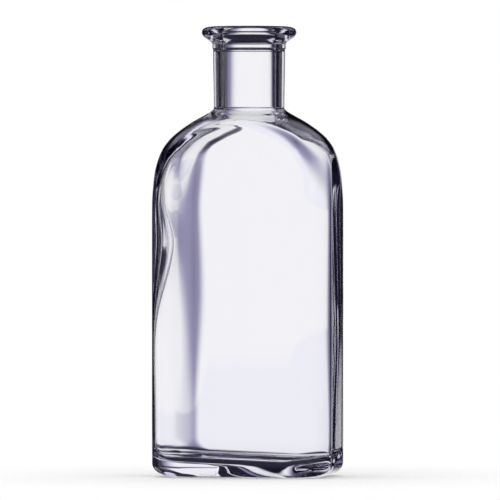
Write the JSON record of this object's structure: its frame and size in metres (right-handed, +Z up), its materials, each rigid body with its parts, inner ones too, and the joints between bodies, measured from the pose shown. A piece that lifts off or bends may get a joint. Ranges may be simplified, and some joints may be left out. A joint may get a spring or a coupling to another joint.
{
  "type": "antique glass bottle",
  "caption": "Clear antique glass pharmacy bottle with an oblong body, rounded corners, domed shoulder, short round neck and flared lip.",
  "frame": {"origin": "middle of the base, on the surface that the bottle stands on", "axes": "+Z up along the neck's axis, +X across the broad front to its right, +Y from the front to the back"},
  "size_m": [0.0616, 0.0416, 0.156],
  "materials": {
    "glass": "clear, smooth, faintly violet, uneven inside"
  },
  "bodies": {
    "root": {"bottle_body": "glass", "applied_lip": "glass"}
  },
  "joints": []
}
